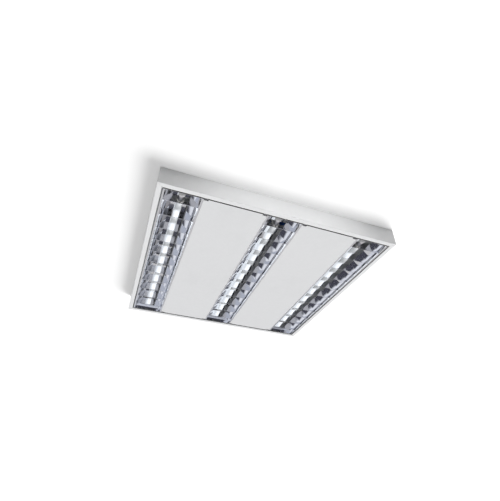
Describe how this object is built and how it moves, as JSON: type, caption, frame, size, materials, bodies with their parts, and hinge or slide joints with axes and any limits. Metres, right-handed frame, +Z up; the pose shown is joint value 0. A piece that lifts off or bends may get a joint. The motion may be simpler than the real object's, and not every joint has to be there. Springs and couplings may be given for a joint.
{
  "type": "surface mount fluorescent fixture",
  "caption": "Square shallow ceiling fixture with mirror louvre strips for slim tubes, flat infill panels and a hinged louvre unit.",
  "frame": {"origin": "centre of the ceiling face, the top of the casing's back", "axes": "+Z up into the ceiling, +X across the mirror strips, +Y along the lamps towards the louvre's hinge"},
  "size_m": [0.6, 0.6, 0.048],
  "materials": {
    "white_coat": "fine textured white powder coat",
    "panel_coat": "fine textured white powder coat",
    "carrier_coat": "gloss white coat",
    "rail_coat": "white coat",
    "mirror_aluminium": "bright anodised mirror",
    "white_plastic": "moulded",
    "ivory_plastic": "moulded",
    "grey_plastic": "moulded",
    "green_board": "lacquered board",
    "black_rubber": "moulded",
    "lamp_glass": "white phosphor coated inside",
    "cap_aluminium": "satin",
    "contact_brass": "bright",
    "zinc_steel": "zinc plated",
    "spring_steel": "blued",
    "ballast_steel": "white coat",
    "brown_insulation": "PVC",
    "blue_insulation": "PVC",
    "earth_insulation": "PVC, green with yellow",
    "white_insulation": "silicone sleeve"
  },
  "bodies": {
    "housing": {"ballast_boards": "green_board", "ballast_case_1": "ballast_steel", "ballast_case_2": "ballast_steel", "ballast_screws": "zinc_steel", "ballast_terminals": "grey_plastic", "cable_grommet": "black_rubber", "carrier_screws": "zinc_steel", "catch_clips": "spring_steel", "earth_nut": "contact_brass", "earth_stud": "contact_brass", "hinge_clips": "spring_steel", "housing_shell": "white_coat", "lamp_carrier_1": "carrier_coat", "lamp_carrier_2": "carrier_coat", "lamp_carrier_3": "carrier_coat", "lamp_wiring_1": "white_insulation", "lamp_wiring_2": "white_insulation", "lampholder_contacts": "contact_brass", "lampholders_1": "white_plastic", "lampholders_2": "white_plastic", "lampholders_3": "white_plastic", "terminal_block": "ivory_plastic", "terminal_screws": "zinc_steel", "wire_clips": "ivory_plastic", "wire_earth": "earth_insulation", "wire_live": "brown_insulation", "wire_neutral": "blue_insulation"},
    "louvre": {"catch_pins": "zinc_steel", "cross_blades_1": "mirror_aluminium", "cross_blades_2": "mirror_aluminium", "cross_blades_3": "mirror_aluminium", "end_rail_front": "rail_coat", "end_rail_rear": "rail_coat", "end_reflectors_1": "mirror_aluminium", "end_reflectors_2": "mirror_aluminium", "end_reflectors_3": "mirror_aluminium", "hinge_pins": "zinc_steel", "infill_panel_1": "panel_coat", "infill_panel_2": "panel_coat", "louvre_rivets": "zinc_steel", "reflector_1_left": "mirror_aluminium", "reflector_1_right": "mirror_aluminium", "reflector_2_left": "mirror_aluminium", "reflector_2_right": "mirror_aluminium", "reflector_3_left": "mirror_aluminium", "reflector_3_right": "mirror_aluminium"},
    "lamp_1": {"lamp_caps_1": "cap_aluminium", "lamp_pins_1": "contact_brass", "lamp_tube_1": "lamp_glass", "rotors_1": "white_plastic"},
    "lamp_2": {"lamp_caps_2": "cap_aluminium", "lamp_pins_2": "contact_brass", "lamp_tube_2": "lamp_glass", "rotors_2": "white_plastic"},
    "lamp_3": {"lamp_caps_3": "cap_aluminium", "lamp_pins_3": "contact_brass", "lamp_tube_3": "lamp_glass", "rotors_3": "white_plastic"}
  },
  "joints": [
    {"name": "louvre_hinge", "type": "hinge", "parent": "housing", "child": "louvre", "pos_m": [0, 0.2835, -0.0445], "axis": [1, 0, 0], "range_deg": [0, 90]},
    {"name": "lamp_1_turn", "type": "hinge", "parent": "housing", "child": "lamp_1", "pos_m": [-0.2405, 0, -0.0135], "axis": [0, 1, 0], "range_deg": [0, 90]},
    {"name": "lamp_2_turn", "type": "hinge", "parent": "housing", "child": "lamp_2", "pos_m": [0, 0, -0.0135], "axis": [0, 1, 0], "range_deg": [0, 90]},
    {"name": "lamp_3_turn", "type": "hinge", "parent": "housing", "child": "lamp_3", "pos_m": [0.2405, 0, -0.0135], "axis": [0, 1, 0], "range_deg": [0, 90]}
  ]
}
